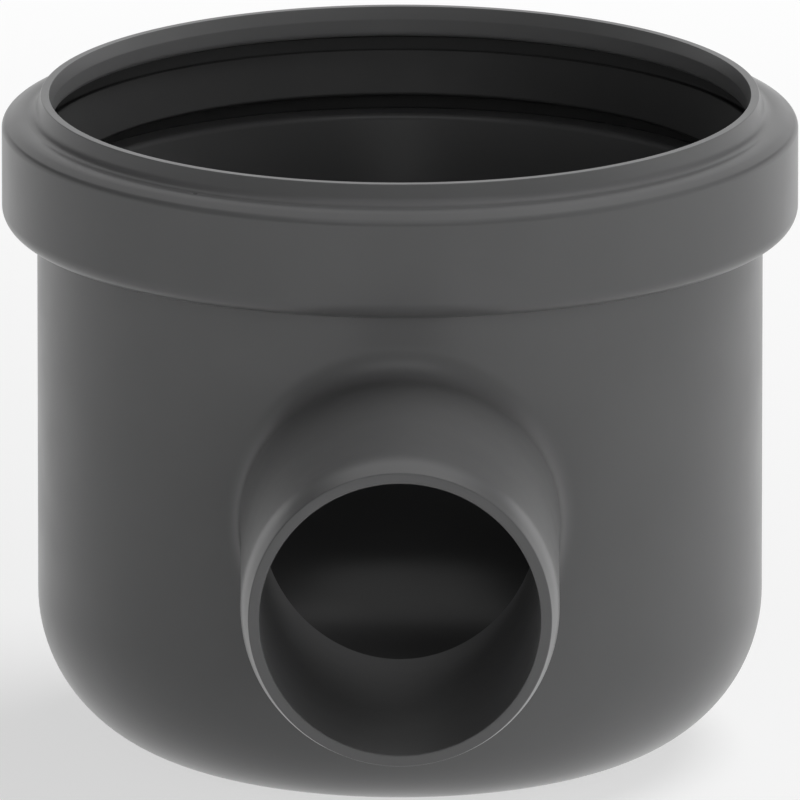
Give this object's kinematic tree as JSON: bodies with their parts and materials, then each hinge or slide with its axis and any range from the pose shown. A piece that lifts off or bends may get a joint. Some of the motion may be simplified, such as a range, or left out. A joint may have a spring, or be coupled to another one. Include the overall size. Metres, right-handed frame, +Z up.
{
  "type": "gully trap",
  "caption": "Round push-fit drain gully body with a flat rounded base, an open sealed socket on top and a horizontal outlet spigot on one side.",
  "frame": {"origin": "centre of the flat base, on the axis of the bucket and the socket", "axes": "+Z up along the axis of the socket, -Y along the outlet spigot towards its mouth"},
  "size_m": [0.1266, 0.1753, 0.106],
  "materials": {
    "body": "matte dark grey moulded polypropylene",
    "seal": "dull black elastomer"
  },
  "bodies": {
    "root": {"gully_body": "body", "seal_ring": "seal"}
  },
  "joints": []
}
